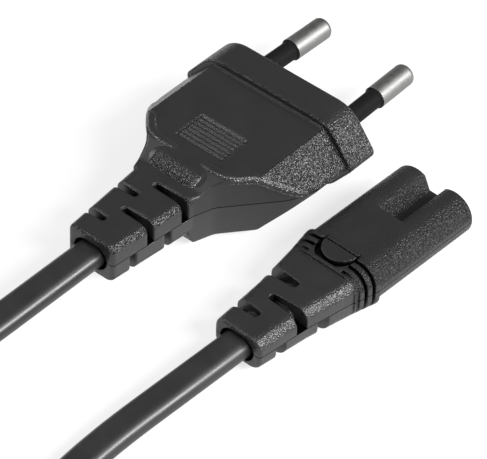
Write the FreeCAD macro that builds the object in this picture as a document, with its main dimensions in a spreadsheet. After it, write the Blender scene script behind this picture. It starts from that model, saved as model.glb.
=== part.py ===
import FreeCAD, Part
import math
import os
import types

import Sketcher
from FreeCAD import Placement, Rotation, Vector

# A two core mains lead in millimetres: a figure eight connector, a flat cord and a two pin plug.
# +X runs along the connector towards its mouth, +Z is up and the lead lies on the plane z = 0.
# The origin is the middle of the connector's underside.

SIZES = (
    # flat cord
    ("cord_width", 5.7),
    ("cord_thickness", 3.5),
    ("core_diameter", 2.0),
    ("conductor_diameter", 1.0),
    ("core_spacing", 2.5),
    # plug: place of its front face, turn about Z, height of its axis
    ("plug_x", 22.35),
    ("plug_y", 30.2),
    ("plug_turn", 1.77),
    ("plug_axis_height", 6.85),
    # plug flange, an elongated hexagon across the axis
    ("flange_width", 36.0),
    ("flange_height", 13.7),
    ("flange_flat", 25.2),
    ("flange_depth", 6.2),
    ("flange_shoulder_radius", 6.0),
    ("flange_corner_radius", 1.4),
    ("flange_edge_radius", 0.35),
    # plug grip, a smaller hexagon that narrows to the strain relief
    ("grip_width", 34.0),
    ("grip_height", 11.3),
    ("grip_flat", 23.6),
    ("grip_panel_end", 26.2),
    ("grip_slope_end", 30.3),
    ("grip_lower_end", 31.5),
    ("grip_end", 32.2),
    ("shoulder_start", 12.5),
    ("shoulder_middle", 18.0),
    ("shoulder_middle_half_width", 15.2),
    ("shoulder_end", 27.6),
    ("shoulder_end_half_width", 7.4),
    ("shoulder_radius", 8.0),
    ("shoulder_foot_radius", 4.0),
    ("grip_ridge_radius", 1.2),
    ("grip_hollow_radius", 2.0),
    ("grip_edge_radius", 0.6),
    ("join_overlap", 0.15),
    # field of fluted bars on both wide faces of the grip
    ("bar_count", 7.0),
    ("bar_field_start", 17.3),
    ("bar_pitch", 0.95),
    ("bar_flute_radius", 0.5),
    ("bar_flute_depth", 0.28),
    ("bar_half_length", 4.8),
    # plug strain relief
    ("plug_relief_root", 25.0),
    ("plug_relief_root_half_width", 6.7),
    ("plug_relief_root_half_height", 4.0),
    ("plug_relief_end", 48.8),
    ("plug_relief_end_half_width", 4.75),
    ("plug_relief_end_half_height", 3.8),
    ("plug_relief_corner_radius", 1.6),
    ("relief_end_radius", 0.7),
    ("plug_slot_first", 33.2),
    ("plug_slot_pitch", 3.75),
    ("plug_slot_inner_width", 1.2),
    ("plug_slot_outer_width", 1.7),
    ("plug_slot_right_start", 0.6),
    ("plug_slot_left_start", 0.8),
    ("slot_wall", 0.3),
    ("slot_end_radius", 0.45),
    ("mouth_gap", 0.6),
    ("mouth_depth", 2.0),
    # plug pins and their sleeves
    ("pin_diameter", 4.0),
    ("pin_length", 19.0),
    ("pin_spacing", 18.6),
    ("pin_lean", 1.4),
    ("pin_tip_radius", 1.0),
    ("pin_neck_diameter", 2.5),
    ("sleeve_diameter", 3.4),
    ("sleeve_length", 10.4),
    ("sleeve_lip_length", 0.5),
    ("pin_collar_diameter", 4.6),
    ("pin_collar_front", 4.5),
    ("pin_collar_length", 1.5),
    ("pin_barrel_front", 11.0),
    ("pin_barrel_length", 5.0),
    ("barrel_diameter", 3.4),
    ("barrel_bore_depth", 4.0),
    # hard bridge that holds the pins
    ("bridge_front", 1.6),
    ("bridge_length", 7.0),
    ("bridge_width", 25.6),
    ("bridge_height", 7.2),
    ("bridge_edge_radius", 1.2),
    # connector nose
    ("connector_axis_height", 4.5),
    ("nose_lobe_diameter", 7.9),
    ("nose_lobe_spacing", 8.1),
    ("nose_groove_length", 11.5),
    ("nose_groove_height", 3.5),
    ("nose_groove_half_width", 2.2),
    ("nose_groove_floor", 1.1),
    ("nose_groove_floor_half_width", 1.05),
    ("nose_length", 22.0),
    ("nose_edge_radius", 0.5),
    # connector ring grip
    ("ring_front_half_width", 8.15),
    ("ring_front_half_height", 4.5),
    ("ring_rear_half_width", 7.1),
    ("ring_rear_half_height", 4.2),
    ("ring_length", 5.6),
    ("ring_corner_radius", 3.4),
    ("ring_groove_width", 0.7),
    ("ring_groove_depth", 0.8),
    ("ring_groove_start", 3.5),
    ("ring_pitch", 1.55),
    ("ring_count", 4.0),
    ("seam_width", 0.25),
    ("seam_depth", 0.5),
    ("seam_half_length", 3.6),
    ("seam_pitch", 0.9),
    ("pad_radius", 3.3),
    ("pad_centre", 0.95),
    ("hollow_radius", 3.75),
    ("hollow_centre", 1.85),
    ("hollow_depth", 0.9),
    ("hollow_end", 5.0),
    # connector strain relief, with its places counted from the ring grip's rear
    ("relief_length", 19.5),
    ("relief_root_half_width", 7.0),
    ("relief_root_half_height", 3.8),
    ("relief_waist", 8.8),
    ("relief_waist_half_width", 5.55),
    ("relief_waist_half_height", 3.45),
    ("relief_end_half_width", 4.75),
    ("relief_end_half_height", 3.15),
    ("relief_corner_radius", 2.2),
    ("slot_first", 6.1),
    ("slot_pitch", 4.4),
    ("slot_inner_width", 1.4),
    ("slot_outer_width", 2.6),
    ("slot_right_start", 1.4),
    ("slot_left_start", -0.3),
    # hard insert and its two contacts
    ("insert_lobe_diameter", 5.3),
    ("insert_web_height", 1.2),
    ("insert_length", 14.8),
    ("contact_spacing", 8.6),
    ("contact_hole_diameter", 3.0),
    ("contact_setback", 1.5),
    ("contact_bore_diameter", 2.4),
    ("contact_bore_depth", 12.0),
    ("contact_wall", 0.35),
    ("contact_back", 0.5),
    ("contact_barrel_start", 15.0),
    ("contact_barrel_length", 4.0),
    # how far the outer sheath reaches into each moulding, from that moulding's rear end
    ("plug_sheath_reach", 12.8),
    ("connector_sheath_reach", 11.5),
    ("exit_run", 21.0),
    # put away coil of the flat cord, which stands on its edge in it
    ("coil_x", -113.0),
    ("coil_y", 15.0),
    ("coil_mean_radius", 31.6),
    ("coil_band_width", 15.3),
    ("coil_layers", 2.0),
    ("coil_layer_gap", 0.1),
    ("coil_edge_radius", 1.2),
    ("tie_gap", 0.1),
    ("tie_thickness", 0.8),
    ("tie_width", 4.0),
    ("tie_tail_length", 9.0),
    ("tie_tail_diameter", 1.8),
)

# a core's straight stretch at each of its ends
CORE_LEAD = 4.5
ROUTE_TOLERANCE = 0.02
# bends of each run: shares of the way from the moulding to the coil, and height in cord thicknesses
CONNECTOR_BENDS = ((0.276, -0.078, 0.63), (0.513, 0.049, 0.543), (0.71, 0.437, 0.571), (0.855, 0.796, 0.771))
PLUG_BENDS = ((0.287, 0.043, 1.31), (0.503, 0.206, 0.86), (0.691, 0.549, 1.43), (0.845, 0.838, 2.11))
# how far out from the coil's middle a run ends, in mean radii
COIL_ENTRY = 1.127
X_AXIS = Vector(1, 0, 0)
Z_AXIS = Vector(0, 0, 1)


class Size:
    """A number together with the expression that yields it, so sketches start solved."""

    def __init__(self, value, text):
        self.value = float(value)
        self.text = text

    @staticmethod
    def of(other):
        if isinstance(other, Size):
            return other
        return Size(other, repr(float(other)))

    def joined(self, other, value, sign):
        return Size(value, "(%s %s %s)" % (self.text, sign, Size.of(other).text))

    def __add__(self, other):
        return self.joined(other, self.value + Size.of(other).value, "+")

    def __sub__(self, other):
        return self.joined(other, self.value - Size.of(other).value, "-")

    def __mul__(self, other):
        return self.joined(other, self.value * Size.of(other).value, "*")

    def __truediv__(self, other):
        return self.joined(other, self.value / Size.of(other).value, "/")

    def __neg__(self):
        return Size(-self.value, "(0 - %s)" % self.text)


def make_sheet(doc):
    """The spreadsheet of driving sizes, and the same sizes as Python values."""
    sheet = doc.addObject("Spreadsheet::Sheet", "Sizes")
    sizes = types.SimpleNamespace()
    for row, (alias, value) in enumerate(SIZES, start=1):
        sheet.set("A%d" % row, alias)
        sheet.set("B%d" % row, str(value))
        sheet.setAlias("B%d" % row, alias)
        setattr(sizes, alias, Size(value, "Sizes." + alias))
    doc.recompute()
    return sizes


def bind(item, prop, size):
    item.setExpression(prop, Size.of(size).text)


# sketch helpers

def new_body(doc, name, placement):
    body = doc.addObject("PartDesign::Body", name)
    body.Placement = placement
    return body


def sketch_on(body, role, name, offset=None):
    plane = next(item for item in body.Origin.OriginFeatures if item.Role == role)
    sketch = body.newObject("Sketcher::SketchObject", name)
    sketch.AttachmentSupport = [(plane, "")]
    sketch.MapMode = "FlatFace"
    if offset is not None:
        bind(sketch, "AttachmentOffset.Base.z", offset)
    return sketch


def fix_point(sketch, geometry, vertex, across, along):
    """Tie one point to its distances from the sketch's origin."""
    for kind, axis, size in (("DistanceX", -2, Size.of(across)), ("DistanceY", -1, Size.of(along))):
        if abs(size.value) < 1e-9:
            sketch.addConstraint(Sketcher.Constraint("PointOnObject", geometry, vertex, axis))
        else:
            index = sketch.addConstraint(
                Sketcher.Constraint(kind, -1, 1, geometry, vertex, size.value))
            sketch.setExpression("Constraints[%d]" % index, size.text)


def polygon(sketch, corners):
    points = [Vector(Size.of(a).value, Size.of(b).value, 0) for a, b in corners]
    count = len(points)
    first = sketch.GeometryCount
    for index in range(count):
        sketch.addGeometry(Part.LineSegment(points[index], points[(index + 1) % count]))
    for index in range(count):
        after = (index + 1) % count
        sketch.addConstraint(Sketcher.Constraint("Coincident", first + index, 2, first + after, 1))
    for index, (across, along) in enumerate(corners):
        fix_point(sketch, first + index, 1, across, along)


def circle(sketch, across, along, diameter):
    centre = Vector(Size.of(across).value, Size.of(along).value, 0)
    index = sketch.addGeometry(Part.Circle(centre, Z_AXIS, diameter.value / 2))
    fix_point(sketch, index, 3, across, along)
    radius = sketch.addConstraint(Sketcher.Constraint("Diameter", index, diameter.value))
    sketch.setExpression("Constraints[%d]" % radius, diameter.text)


def rounded_rectangle(sketch, half_width, half_height, radius):
    """Four sides and four equal corner arcs, tangent, centred on the sketch's origin."""
    half_w, half_h, rad = half_width.value, half_height.value, radius.value
    quarter = math.pi / 2
    sides = []
    arcs = []
    for turn, (length, away) in enumerate(((half_w, half_h), (half_h, half_w)) * 2):
        angle = quarter * (1 - turn)
        outward = Vector(math.cos(angle), math.sin(angle), 0)
        forward = Vector(math.sin(angle), -math.cos(angle), 0)
        start = outward * away - forward * (length - rad)
        end = outward * away + forward * (length - rad)
        sides.append(sketch.addGeometry(Part.LineSegment(start, end)))
        corner = end - outward * rad
        arc = Part.Circle(corner, Z_AXIS, rad)
        arcs.append(sketch.addGeometry(Part.ArcOfCircle(arc, angle - quarter, angle)))
    for turn in range(4):
        after = (turn + 1) % 4
        sketch.addConstraint(Sketcher.Constraint("Tangent", sides[turn], 2, arcs[turn], 2))
        sketch.addConstraint(Sketcher.Constraint("Tangent", arcs[turn], 1, sides[after], 1))
        kind = "Horizontal" if turn % 2 == 0 else "Vertical"
        sketch.addConstraint(Sketcher.Constraint(kind, sides[turn]))
    for turn in range(1, 4):
        sketch.addConstraint(Sketcher.Constraint("Equal", arcs[0], arcs[turn]))
    sketch.addConstraint(Sketcher.Constraint("Symmetric", arcs[0], 3, arcs[2], 3, -1, 1))
    width = sketch.addConstraint(Sketcher.Constraint("DistanceX", sides[3], 1, sides[1], 1, 2 * half_w))
    sketch.setExpression("Constraints[%d]" % width, (half_width * 2).text)
    height = sketch.addConstraint(Sketcher.Constraint("DistanceY", sides[2], 1, sides[0], 1, 2 * half_h))
    sketch.setExpression("Constraints[%d]" % height, (half_height * 2).text)
    corner = sketch.addConstraint(Sketcher.Constraint("Radius", arcs[0], rad))
    sketch.setExpression("Constraints[%d]" % corner, radius.text)


def stadium(sketch, half_centre, radius):
    """Two round ends joined by two straight sides, long way along the sketch's X."""
    reach, rad = half_centre.value, radius.value
    right = Part.Circle(Vector(reach, 0, 0), Z_AXIS, rad)
    left = Part.Circle(Vector(-reach, 0, 0), Z_AXIS, rad)
    quarter = math.pi / 2
    ends = (sketch.addGeometry(Part.ArcOfCircle(right, -quarter, quarter)),
            sketch.addGeometry(Part.ArcOfCircle(left, quarter, 3 * quarter)))
    top = sketch.addGeometry(Part.LineSegment(Vector(reach, rad, 0), Vector(-reach, rad, 0)))
    low = sketch.addGeometry(Part.LineSegment(Vector(-reach, -rad, 0), Vector(reach, -rad, 0)))
    sketch.addConstraint(Sketcher.Constraint("Tangent", ends[0], 2, top, 1))
    sketch.addConstraint(Sketcher.Constraint("Tangent", top, 2, ends[1], 1))
    sketch.addConstraint(Sketcher.Constraint("Tangent", ends[1], 2, low, 1))
    sketch.addConstraint(Sketcher.Constraint("Tangent", low, 2, ends[0], 1))
    sketch.addConstraint(Sketcher.Constraint("Horizontal", top))
    fix_point(sketch, ends[0], 3, half_centre, 0)
    fix_point(sketch, ends[1], 3, -half_centre, 0)
    index = sketch.addConstraint(Sketcher.Constraint("Radius", ends[0], rad))
    sketch.setExpression("Constraints[%d]" % index, radius.text)


# feature helpers

def pad(body, sketch, name, length, backwards=False):
    feature = body.newObject("PartDesign::Pad", name)
    feature.Profile = sketch
    bind(feature, "Length", length)
    feature.Reversed = backwards
    body.Document.recompute()
    return feature


def revolve(body, sketch, name):
    """A full turn about the body's X axis."""
    axis = next(item for item in body.Origin.OriginFeatures if item.Role == "X_Axis")
    feature = body.newObject("PartDesign::Revolution", name)
    feature.Profile = sketch
    feature.ReferenceAxis = (axis, [""])
    feature.Angle = 360
    body.Document.recompute()
    return feature


def loft(body, name, sections):
    feature = body.newObject("PartDesign::AdditiveLoft", name)
    feature.Profile = sections[0]
    feature.Sections = sections[1:]
    feature.Ruled = True
    body.Document.recompute()
    return feature


def edge_names(shape, wanted):
    """Names of the edges whose middle point and direction pass the test."""
    names = []
    for index, edge in enumerate(shape.Edges, start=1):
        middle = edge.valueAt((edge.FirstParameter + edge.LastParameter) / 2)
        along = edge.tangentAt((edge.FirstParameter + edge.LastParameter) / 2)
        if wanted(middle, along, edge):
            names.append("Edge%d" % index)
    if not names:
        raise RuntimeError("no edge passes the test")
    return names


def round_edges(body, base, name, radius, wanted):
    feature = body.newObject("PartDesign::Fillet", name)
    feature.Base = (base, edge_names(base.Shape, wanted))
    bind(feature, "Radius", radius)
    body.Document.recompute()
    return feature


def fillet(doc, name, base, radius, wanted):
    """Rounded edges of a shape that isn't in a body."""
    rounded = doc.addObject("Part::Fillet", name)
    rounded.Base = base
    names = edge_names(base.Shape, wanted)
    rounded.Edges = [(int(edge[4:]), radius.value, radius.value) for edge in names]
    doc.recompute()
    return rounded


def box(doc, name, frame, corner, extent):
    """A block from its lowest corner, in the given frame."""
    item = doc.addObject("Part::Box", name)
    for prop, size in zip(("Length", "Width", "Height"), extent):
        bind(item, prop, size)
    item.Placement = frame.multiply(Placement(Vector(*[Size.of(c).value for c in corner]), Rotation()))
    return item


def cut(doc, name, base, tools):
    result = doc.addObject("Part::Cut", name)
    result.Base = base
    result.Tool = tools[0] if len(tools) == 1 else fuse(doc, name + "_tools", tools)
    doc.recompute()
    return result


def fuse(doc, name, items):
    result = doc.addObject("Part::MultiFuse", name)
    result.Shapes = items
    doc.recompute()
    return result


def common(doc, name, items):
    result = doc.addObject("Part::MultiCommon", name)
    result.Shapes = items
    doc.recompute()
    return result


def shape_feature(doc, name, shape, placement=None):
    """A shape made with Part's own functions, kept as a document object."""
    item = doc.addObject("Part::Feature", name)
    item.Shape = shape
    if placement is not None:
        item.Placement = placement
    return item


# cord routes

def route_wire(points, report, extension=0):
    """Straight runs joined by tangent arcs as large as the two runs allow.

    The extension lengthens the last run and leaves the arcs as they are."""
    edges = []
    start = points[0]
    for before, corner, after in zip(points, points[1:], points[2:]):
        run_in = corner - before
        run_out = after - corner
        half_turn = run_in.getAngle(run_out) / 2
        reach = 0.45 * min(run_in.Length, run_out.Length)
        radius = reach / math.tan(half_turn)
        arc_start = corner - run_in.normalize() * reach
        arc_end = corner + run_out.normalize() * reach
        inward = (run_out - run_in).normalize()
        middle = corner + inward * (radius / math.cos(half_turn) - radius)
        edges.append(Part.LineSegment(start, arc_start).toShape())
        edges.append(Part.Arc(arc_start, middle, arc_end).toShape())
        start = arc_end
        print("%s turn %5.1f degrees radius %6.1f mm" % (report, math.degrees(2 * half_turn), radius))
    ahead = (points[-1] - points[-2]).normalize()
    edges.append(Part.LineSegment(start, points[-1] + ahead * extension).toShape())
    return Part.Wire(edges)


def stadium_face(half_centre, radius, at, along):
    """The flat cord's section, wide way level, square to the route's first run."""
    across = Z_AXIS.cross(along).normalize()
    up = along.cross(across).normalize()
    ends = [at + across * (half_centre * side) + up * (radius * level)
            for side, level in ((1, -1), (1, 1), (-1, 1), (-1, -1))]
    right = at + across * (half_centre + radius)
    left = at - across * (half_centre + radius)
    return Part.Wire([
        Part.Arc(ends[0], right, ends[1]).toShape(),
        Part.LineSegment(ends[1], ends[2]).toShape(),
        Part.Arc(ends[2], left, ends[3]).toShape(),
        Part.LineSegment(ends[3], ends[0]).toShape()])


def flat_tube(points, width, thickness, report):
    """The flat cord along its route, checked by its volume."""
    path = route_wire(points, report)
    radius = thickness / 2
    half_centre = (width - thickness) / 2
    section = stadium_face(half_centre, radius, points[0], points[1] - points[0])
    sweep = Part.BRepOffsetAPI.MakePipeShell(path)
    sweep.setBiNormalMode(Z_AXIS)
    sweep.add(section)
    sweep.build()
    sweep.makeSolid()
    tube = sweep.shape()
    area = math.pi * radius ** 2 + 4 * half_centre * radius
    print("%s length %.1f mm, volume over section times length %.4f"
          % (report, path.Length, tube.Volume / (area * path.Length)))
    if abs(tube.Volume / (area * path.Length) - 1) > ROUTE_TOLERANCE:
        raise RuntimeError("the tube of %s has the wrong volume" % report)
    return tube


def round_tube(points, diameter, report, extension=0):
    path = route_wire(points, report, extension)
    along = points[1] - points[0]
    ring = Part.Wire([Part.Circle(points[0], along, diameter / 2).toShape()])
    return path.makePipeShell([ring], True, True)


# plug

def plug_frame(s):
    return Placement(Vector(s.plug_x.value, s.plug_y.value, s.plug_axis_height.value),
                     Rotation(Z_AXIS, s.plug_turn.value))


def hexagon(sketch, width, height, flat):
    polygon(sketch, ((-width / 2, 0), (-flat / 2, height / 2), (flat / 2, height / 2),
                     (width / 2, 0), (flat / 2, -height / 2), (-flat / 2, -height / 2)))


def along_x(direction):
    return abs(direction.x) > 0.99


def upright_at(distance):
    """A test for upright edges at a distance behind the body's origin."""
    return lambda point, direction, edge: abs(direction.z) > 0.99 and abs(point.x + distance) < 0.01


def level_at(distance, height):
    """A test for level edges at a distance behind the body's origin, above or below a height."""
    return lambda point, direction, edge: (abs(direction.y) > 0.99 and abs(point.x + distance) < 0.01
                                           and point.z * height > 0)


def make_flange(doc, s, frame):
    body = new_body(doc, "flange_block", frame)
    sketch = sketch_on(body, "YZ_Plane", "flange_outline")
    hexagon(sketch, s.flange_width, s.flange_height, s.flange_flat)
    block = pad(body, sketch, "flange_pad", s.flange_depth, backwards=True)
    level = s.flange_height.value / 4
    shoulders = round_edges(body, block, "flange_shoulders", s.flange_shoulder_radius,
                            lambda point, direction, edge: along_x(direction) and abs(point.z) > level)
    corners = round_edges(body, shoulders, "flange_corners", s.flange_corner_radius,
                          lambda point, direction, edge: along_x(direction) and abs(point.z) < 0.01)
    round_edges(body, corners, "flange_rims", s.flange_edge_radius,
                lambda point, direction, edge: abs(direction.x) < 0.01)
    return body


def make_grip(doc, s, frame):
    """A hexagonal block, cut to its plan from above and to its profile from the side."""
    body = new_body(doc, "grip_block", frame)
    front = s.flange_depth / 2
    sketch = sketch_on(body, "YZ_Plane", "grip_outline", -front)
    hexagon(sketch, s.grip_width, s.grip_height, s.grip_flat)
    block = pad(body, sketch, "grip_pad", s.grip_end - front, backwards=True)
    round_edges(body, block, "grip_edges", s.grip_edge_radius,
                lambda point, direction, edge: along_x(direction))

    plan = new_body(doc, "grip_plan", frame)
    outline = sketch_on(plan, "XY_Plane", "grip_plan_outline", -s.grip_height)
    half = s.grip_width / 2
    rear = s.plug_relief_root_half_width - s.join_overlap * 5
    polygon(outline, (
        (Size.of(0), -half), (Size.of(0), half), (-s.shoulder_start, half),
        (-s.shoulder_middle, s.shoulder_middle_half_width),
        (-s.shoulder_end, s.shoulder_end_half_width), (-s.grip_end, rear), (-s.grip_end, -rear),
        (-s.shoulder_end, -s.shoulder_end_half_width),
        (-s.shoulder_middle, -s.shoulder_middle_half_width), (-s.shoulder_start, -half)))
    shape = pad(plan, outline, "grip_plan_pad", s.grip_height * 2)
    for name, radius, distance in (("shoulder_round", s.shoulder_radius, s.shoulder_start),
                                   ("shoulder_bend", s.shoulder_radius, s.shoulder_middle),
                                   ("shoulder_foot", s.shoulder_foot_radius, s.shoulder_end)):
        shape = round_edges(plan, shape, name, radius, upright_at(distance.value))

    side = new_body(doc, "grip_profile", frame)
    profile = sketch_on(side, "XZ_Plane", "grip_profile_outline", -s.grip_width)
    high = s.grip_height / 2
    foot = s.plug_relief_root_half_height - s.join_overlap
    polygon(profile, (
        (Size.of(0), -high), (Size.of(0), high), (-s.grip_panel_end, high), (-s.grip_slope_end, foot),
        (-s.grip_end, foot), (-s.grip_end, -foot), (-s.grip_lower_end, -high)))
    shape = pad(side, profile, "grip_profile_pad", s.grip_width * 2)
    for name, radius, distance, level in (("grip_ridge", s.grip_ridge_radius, s.grip_panel_end, 1),
                                          ("grip_hollow", s.grip_hollow_radius, s.grip_slope_end, 1),
                                          ("grip_chin", s.grip_edge_radius, s.grip_lower_end, -1)):
        shape = round_edges(side, shape, name, radius, level_at(distance.value, level))
    return common(doc, "grip_form", [body, plan, side])


def make_relief(doc, s, frame, name, stations, corner_radius):
    """A tapered rounded block through the given stations: distance, half width, half height."""
    body = new_body(doc, name, frame)
    sections = []
    for index, (distance, half_width, half_height) in enumerate(stations):
        sketch = sketch_on(body, "YZ_Plane", "%s_section_%d" % (name, index), -distance)
        rounded_rectangle(sketch, half_width, half_height, corner_radius)
        sections.append(sketch)
    tapered = loft(body, name + "_loft", sections)
    end = stations[-1][0].value
    round_edges(body, tapered, name + "_rim", s.relief_end_radius,
                lambda point, direction, edge: abs(point.x + end) < 0.01)
    return body


def core_prism(doc, s, frame, name, start, stop, growth):
    """The straight stretch of cord inside a moulding, or the wall kept round it."""
    body = new_body(doc, name, frame)
    sketch = sketch_on(body, "YZ_Plane", name + "_section", -start)
    stadium(sketch, (s.cord_width - s.cord_thickness) / 2, s.cord_thickness / 2 + growth)
    pad(body, sketch, name + "_pad", stop - start, backwards=True)
    return body


def make_slot(doc, s, frame, name, station, side, start, reach, widths, height):
    """An upright slot from near the middle out through one side, wider at the side."""
    body = new_body(doc, name, frame)
    sketch = sketch_on(body, "XY_Plane", name + "_outline", Size.of(0) if height.value > 0 else height)
    inner, outer = widths
    polygon(sketch, ((-station - inner / 2, start), (-station - outer / 2, reach * side),
                     (-station + outer / 2, reach * side), (-station + inner / 2, start)))
    block = pad(body, sketch, name + "_pad", height if height.value > 0 else -height)
    round_edges(body, block, name + "_end", s.slot_end_radius,
                lambda point, direction, edge: abs(direction.z) > 0.99 and abs(point.y - start.value) < 0.01)
    return body


def relief_slots(doc, s, frame, name, stations, widths, starts, reach, height, wall):
    """Slots in turn to either side, each with one below it to the other side."""
    right_start, left_start = starts
    slots = []
    for index, (station, side) in enumerate(stations):
        start = left_start if side > 0 else right_start
        slots.append(make_slot(doc, s, frame, "%s_upper_%d" % (name, index), station, side, start,
                               reach, widths, height))
        slots.append(make_slot(doc, s, frame, "%s_lower_%d" % (name, index), station, -side, -start,
                               reach, widths, -height))
    return cut(doc, name, fuse(doc, name + "_blocks", slots), [wall])


def make_bars(doc, s, frame):
    """Round flutes across both wide faces of the grip, which leave ridges between them."""
    flutes = []
    rise = s.bar_flute_radius - s.bar_flute_depth
    for side in (1, -1):
        level = (s.grip_height / 2 + rise) * side
        for index in range(int(s.bar_count.value)):
            flute = doc.addObject("Part::Cylinder", "bar_flute_%d_%d" % (index, side))
            bind(flute, "Radius", s.bar_flute_radius)
            bind(flute, "Height", s.bar_half_length * 2)
            back = -s.bar_field_start - s.bar_pitch * index
            corner = Vector(back.value, -s.bar_half_length.value, level.value)
            flute.Placement = frame.multiply(Placement(corner, Rotation(X_AXIS, -90)))
            flutes.append(flute)
    return fuse(doc, "bar_flutes", flutes)


def pin_place(s, side):
    """A pin's own frame inside the plug: its axis leans towards the other pin's tip."""
    lean = Rotation(Z_AXIS, -side * s.pin_lean.value)
    return Placement(Vector(0, side * s.pin_spacing.value / 2, 0), lean)


def make_pin(doc, s, frame, label):
    """One turned piece: tip, neck under the sleeve, collar and crimp barrel."""
    body = new_body(doc, label, frame)
    sketch = sketch_on(body, "XY_Plane", label + "_profile")
    neck = s.pin_neck_diameter / 2
    bar = s.pin_diameter / 2
    collar = s.pin_collar_diameter / 2
    barrel = s.barrel_diameter / 2
    bore = s.conductor_diameter / 2
    collar_rear = -s.pin_collar_front - s.pin_collar_length
    barrel_rear = -s.pin_barrel_front - s.pin_barrel_length
    polygon(sketch, (
        (s.pin_length, 0), (s.pin_length, bar), (s.sleeve_length, bar), (s.sleeve_length, neck),
        (-s.pin_collar_front, neck), (-s.pin_collar_front, collar), (collar_rear, collar),
        (collar_rear, neck), (-s.pin_barrel_front, neck), (-s.pin_barrel_front, barrel),
        (barrel_rear, barrel), (barrel_rear, bore), (barrel_rear + s.barrel_bore_depth, bore),
        (barrel_rear + s.barrel_bore_depth, 0)))
    turned = revolve(body, sketch, label + "_turning")
    round_edges(body, turned, label + "_tip", s.pin_tip_radius,
                lambda point, direction, edge: abs(point.x - s.pin_length.value) < 0.01
                and isinstance(edge.Curve, Part.Circle))
    return body


def make_sleeve(doc, s, frame, label):
    """The insulating sleeve, with a lip as wide as the bare pin at its front."""
    body = new_body(doc, label, frame)
    sketch = sketch_on(body, "XY_Plane", label + "_profile")
    neck = s.pin_neck_diameter / 2
    outer = s.sleeve_diameter / 2
    polygon(sketch, (
        (s.sleeve_length, neck), (s.sleeve_length, s.pin_diameter / 2),
        (s.sleeve_length - s.sleeve_lip_length, outer), (-s.pin_collar_front, outer),
        (-s.pin_collar_front, neck)))
    revolve(body, sketch, label + "_turning")
    return body


def make_bridge(doc, s, frame, held):
    body = new_body(doc, "bridge_block", frame)
    sketch = sketch_on(body, "YZ_Plane", "bridge_outline", -s.bridge_front)
    rounded_rectangle(sketch, s.bridge_width / 2, s.bridge_height / 2, s.bridge_edge_radius)
    pad(body, sketch, "bridge_pad", s.bridge_length, backwards=True)
    return cut(doc, "plug_bridge", body, held)


def make_core(doc, s, frame, label, points, strip):
    """Insulation and conductor of one core. The conductor runs on into the barrel."""
    conductor = round_tube(points, s.conductor_diameter.value, label + " conductor", strip)
    jacket = round_tube(points, s.core_diameter.value, label + " core").cut(conductor)
    return (shape_feature(doc, label + "_core", jacket, frame),
            shape_feature(doc, label + "_conductor", conductor, frame))


def make_plug(doc, s):
    frame = plug_frame(s)
    sheath_end = s.plug_relief_end - s.plug_sheath_reach
    pins = []
    sleeves = []
    cores = []
    for name, side in (("left", 1), ("right", -1)):
        own = frame.multiply(pin_place(s, side))
        pins.append(make_pin(doc, s, own, "plug_pin_" + name))
        sleeves.append(make_sleeve(doc, s, own, "pin_sleeve_" + name))
    barrel_rear = s.pin_barrel_front.value + s.pin_barrel_length.value
    for name, side in (("brown", 1), ("blue", -1)):
        # the last run lies on the pin's own axis
        beside = side * s.core_spacing.value / 2
        start = sheath_end.value
        place = pin_place(s, side)
        points = [Vector(-start, beside, 0), Vector(-start + CORE_LEAD, beside, 0),
                  place.multVec(Vector(-barrel_rear - CORE_LEAD, 0, 0)),
                  place.multVec(Vector(-barrel_rear, 0, 0))]
        cores.extend(make_core(doc, s, frame, "plug_" + name, points, s.barrel_bore_depth.value))
    bridge = make_bridge(doc, s, frame, pins + sleeves)
    sheath = core_prism(doc, s, frame, "plug_sheath_room", sheath_end, s.plug_relief_end, Size.of(0))
    wall = core_prism(doc, s, frame, "plug_slot_wall", s.shoulder_end, s.plug_relief_end, s.slot_wall)
    mouth = core_prism(doc, s, frame, "plug_mouth", s.plug_relief_end - s.mouth_depth,
                       s.plug_relief_end + 1, s.mouth_gap)
    relief = make_relief(doc, s, frame, "plug_relief", (
        (s.plug_relief_root, s.plug_relief_root_half_width, s.plug_relief_root_half_height),
        (s.plug_relief_end, s.plug_relief_end_half_width, s.plug_relief_end_half_height)),
        s.plug_relief_corner_radius)
    stations = [(s.plug_slot_first + s.plug_slot_pitch * index, -1 if index % 2 == 0 else 1)
                for index in range(4)]
    slots = relief_slots(doc, s, frame, "plug_slots", stations,
                         (s.plug_slot_inner_width, s.plug_slot_outer_width),
                         (s.plug_slot_right_start, s.plug_slot_left_start),
                         s.plug_relief_root_half_width + 1, s.plug_relief_root_half_height + 1, wall)
    form = fuse(doc, "plug_form", [make_flange(doc, s, frame), make_grip(doc, s, frame), relief])
    inside = [slots, mouth, sheath, make_bars(doc, s, frame), bridge] + pins + sleeves + cores
    moulding = cut(doc, "plug_body", form, inside)
    return [moulding, bridge] + pins + sleeves + cores


# connector

def connector_length(s):
    return s.nose_length + s.ring_length + s.relief_length


def connector_frame(s):
    """Origin on the connector's axis at the nose's front face."""
    return Placement(Vector(connector_length(s).value / 2, 0, s.connector_axis_height.value), Rotation())


def figure_eight(doc, s, frame, name, lobe, spacing, web, length):
    """Two round lobes and the web between them, as far back as length."""
    parts = []
    for side in (1, -1):
        body = new_body(doc, "%s_lobe_%d" % (name, side), frame)
        sketch = sketch_on(body, "YZ_Plane", "%s_circle_%d" % (name, side))
        circle(sketch, spacing / 2 * side, 0, lobe)
        pad(body, sketch, "%s_lobe_pad_%d" % (name, side), length, backwards=True)
        parts.append(body)
    parts.append(box(doc, name + "_web", frame, (-length, -spacing / 2, -web / 2),
                     (length, spacing, web)))
    return fuse(doc, name, parts)


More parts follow.
